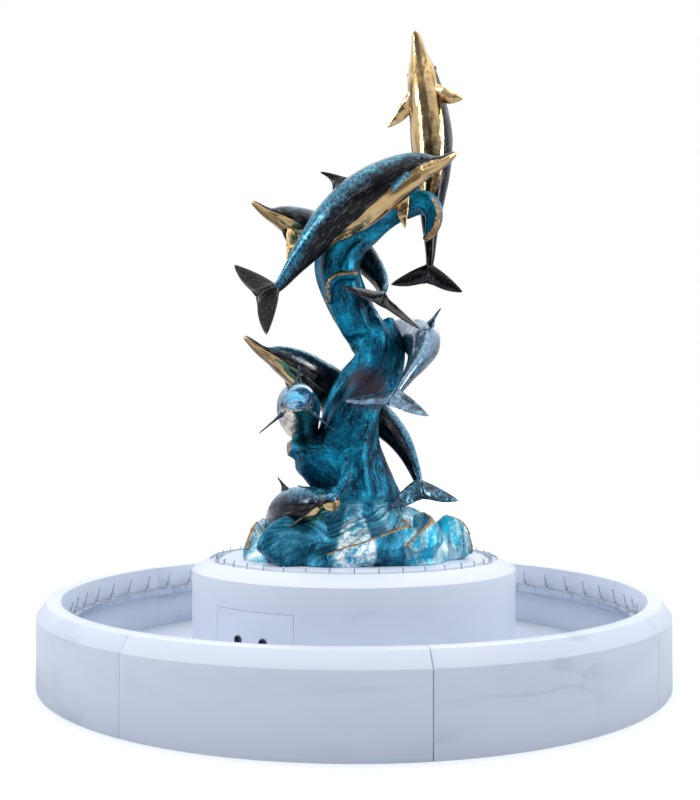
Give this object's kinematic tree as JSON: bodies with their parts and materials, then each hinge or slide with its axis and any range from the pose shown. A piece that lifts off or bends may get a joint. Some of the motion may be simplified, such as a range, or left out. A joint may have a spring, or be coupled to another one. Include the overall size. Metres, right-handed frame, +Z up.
{
  "type": "bronze dolphin fountain",
  "caption": "Round marble basin with a drum pedestal that carries patinated bronze dolphins leaping round a twisting wave, with rings of water jets.",
  "frame": {"origin": "on the ground in the middle of the round basin", "axes": "+Z up, -Y to the front as the picture shows it, +X to the viewer's right"},
  "size_m": [4.7952, 4.7952, 5.0672],
  "materials": {
    "wave_bronze": "teal patinated cast bronze, glossy, with raw bronze edges",
    "dolphin_bronze": "dark blue patinated bronze with polished golden bellies",
    "marble": "honed white marble with soft grey veins",
    "steel": "satin stainless steel",
    "outlet_metal": "dark painted pipe"
  },
  "bodies": {
    "root": {"wave_column": "wave_bronze", "dolphin_summit": "dolphin_bronze", "dolphin_crossing": "dolphin_bronze", "dolphin_high_left": "dolphin_bronze", "dolphin_diving_right": "dolphin_bronze", "dolphin_low_left": "dolphin_bronze", "dolphin_front": "dolphin_bronze", "dolphin_surfacing": "dolphin_bronze", "basin_wall_1": "marble", "basin_wall_2": "marble", "basin_wall_3": "marble", "basin_wall_4": "marble", "basin_wall_5": "marble", "basin_wall_6": "marble", "basin_wall_7": "marble", "basin_wall_8": "marble", "basin_floor": "marble", "pedestal": "marble", "pedestal_access_panel": "marble", "pedestal_outlet_1": "outlet_metal", "pedestal_outlet_2": "outlet_metal", "pedestal_nozzle_ring": "steel", "basin_nozzle_ring": "steel"}
  },
  "joints": []
}
